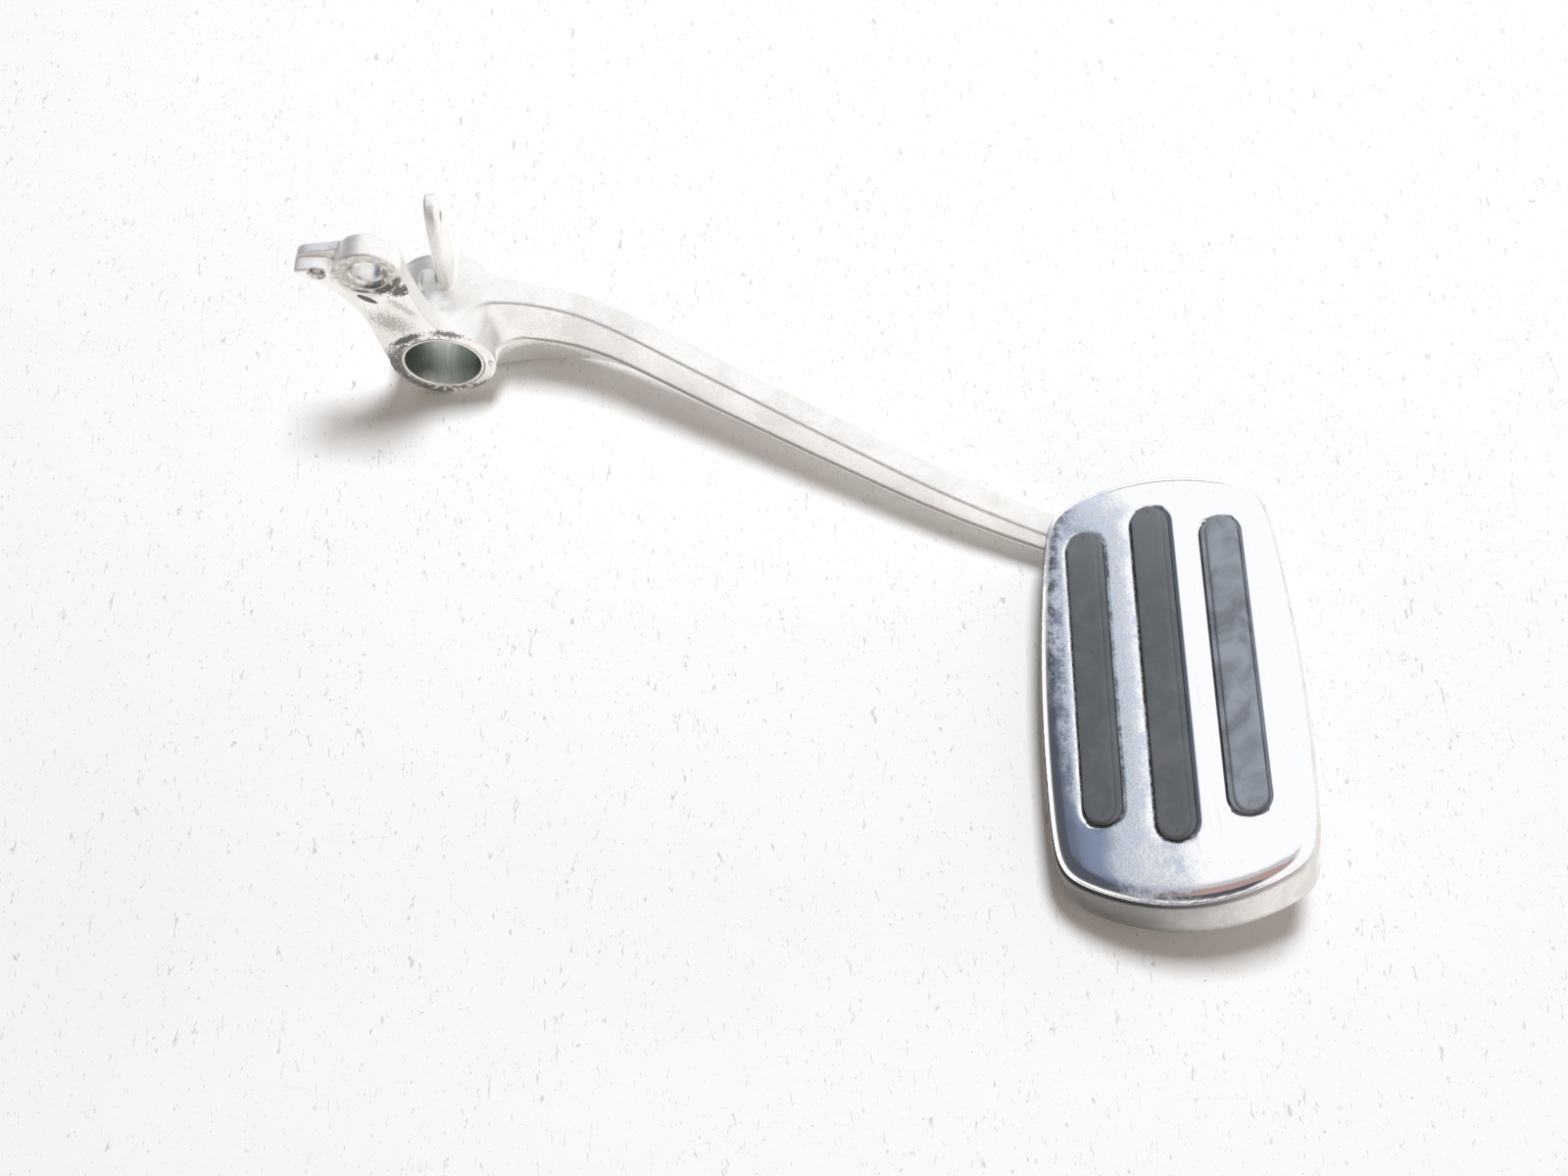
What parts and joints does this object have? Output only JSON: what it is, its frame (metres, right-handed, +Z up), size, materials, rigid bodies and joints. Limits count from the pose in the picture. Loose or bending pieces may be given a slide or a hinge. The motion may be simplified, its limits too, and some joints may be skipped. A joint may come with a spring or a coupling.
{
  "type": "motorbike rear brake pedal",
  "caption": "Cast lever with a bushed pivot barrel, a clevis crank, spring lugs and a long curved arm ending in an oval tread pad with a slotted bright cover over rubber strips.",
  "frame": {"origin": "centre of the pivot bore at the barrel's outboard face", "axes": "+Y along the pivot bore, away from the outboard face; +X from the pivot toward the tread pad; +Z up, as the pedal lies on a floor"},
  "size_m": [0.2391, 0.1844, 0.0607],
  "materials": {
    "cast_alloy": "satin silver casting, greasy round the bore",
    "bush_metal": "worn bearing steel with grease",
    "bright_cover": "bright plated steel, hazy on one side",
    "tread_rubber": "matt dark grey rubber",
    "plated_steel": "plain zinc plated"
  },
  "bodies": {
    "root": {"lever": "cast_alloy", "pivot_bush": "bush_metal", "pad_cover": "bright_cover", "pad_rubber": "tread_rubber", "far_nut": "plated_steel", "near_nut": "plated_steel"}
  },
  "joints": []
}
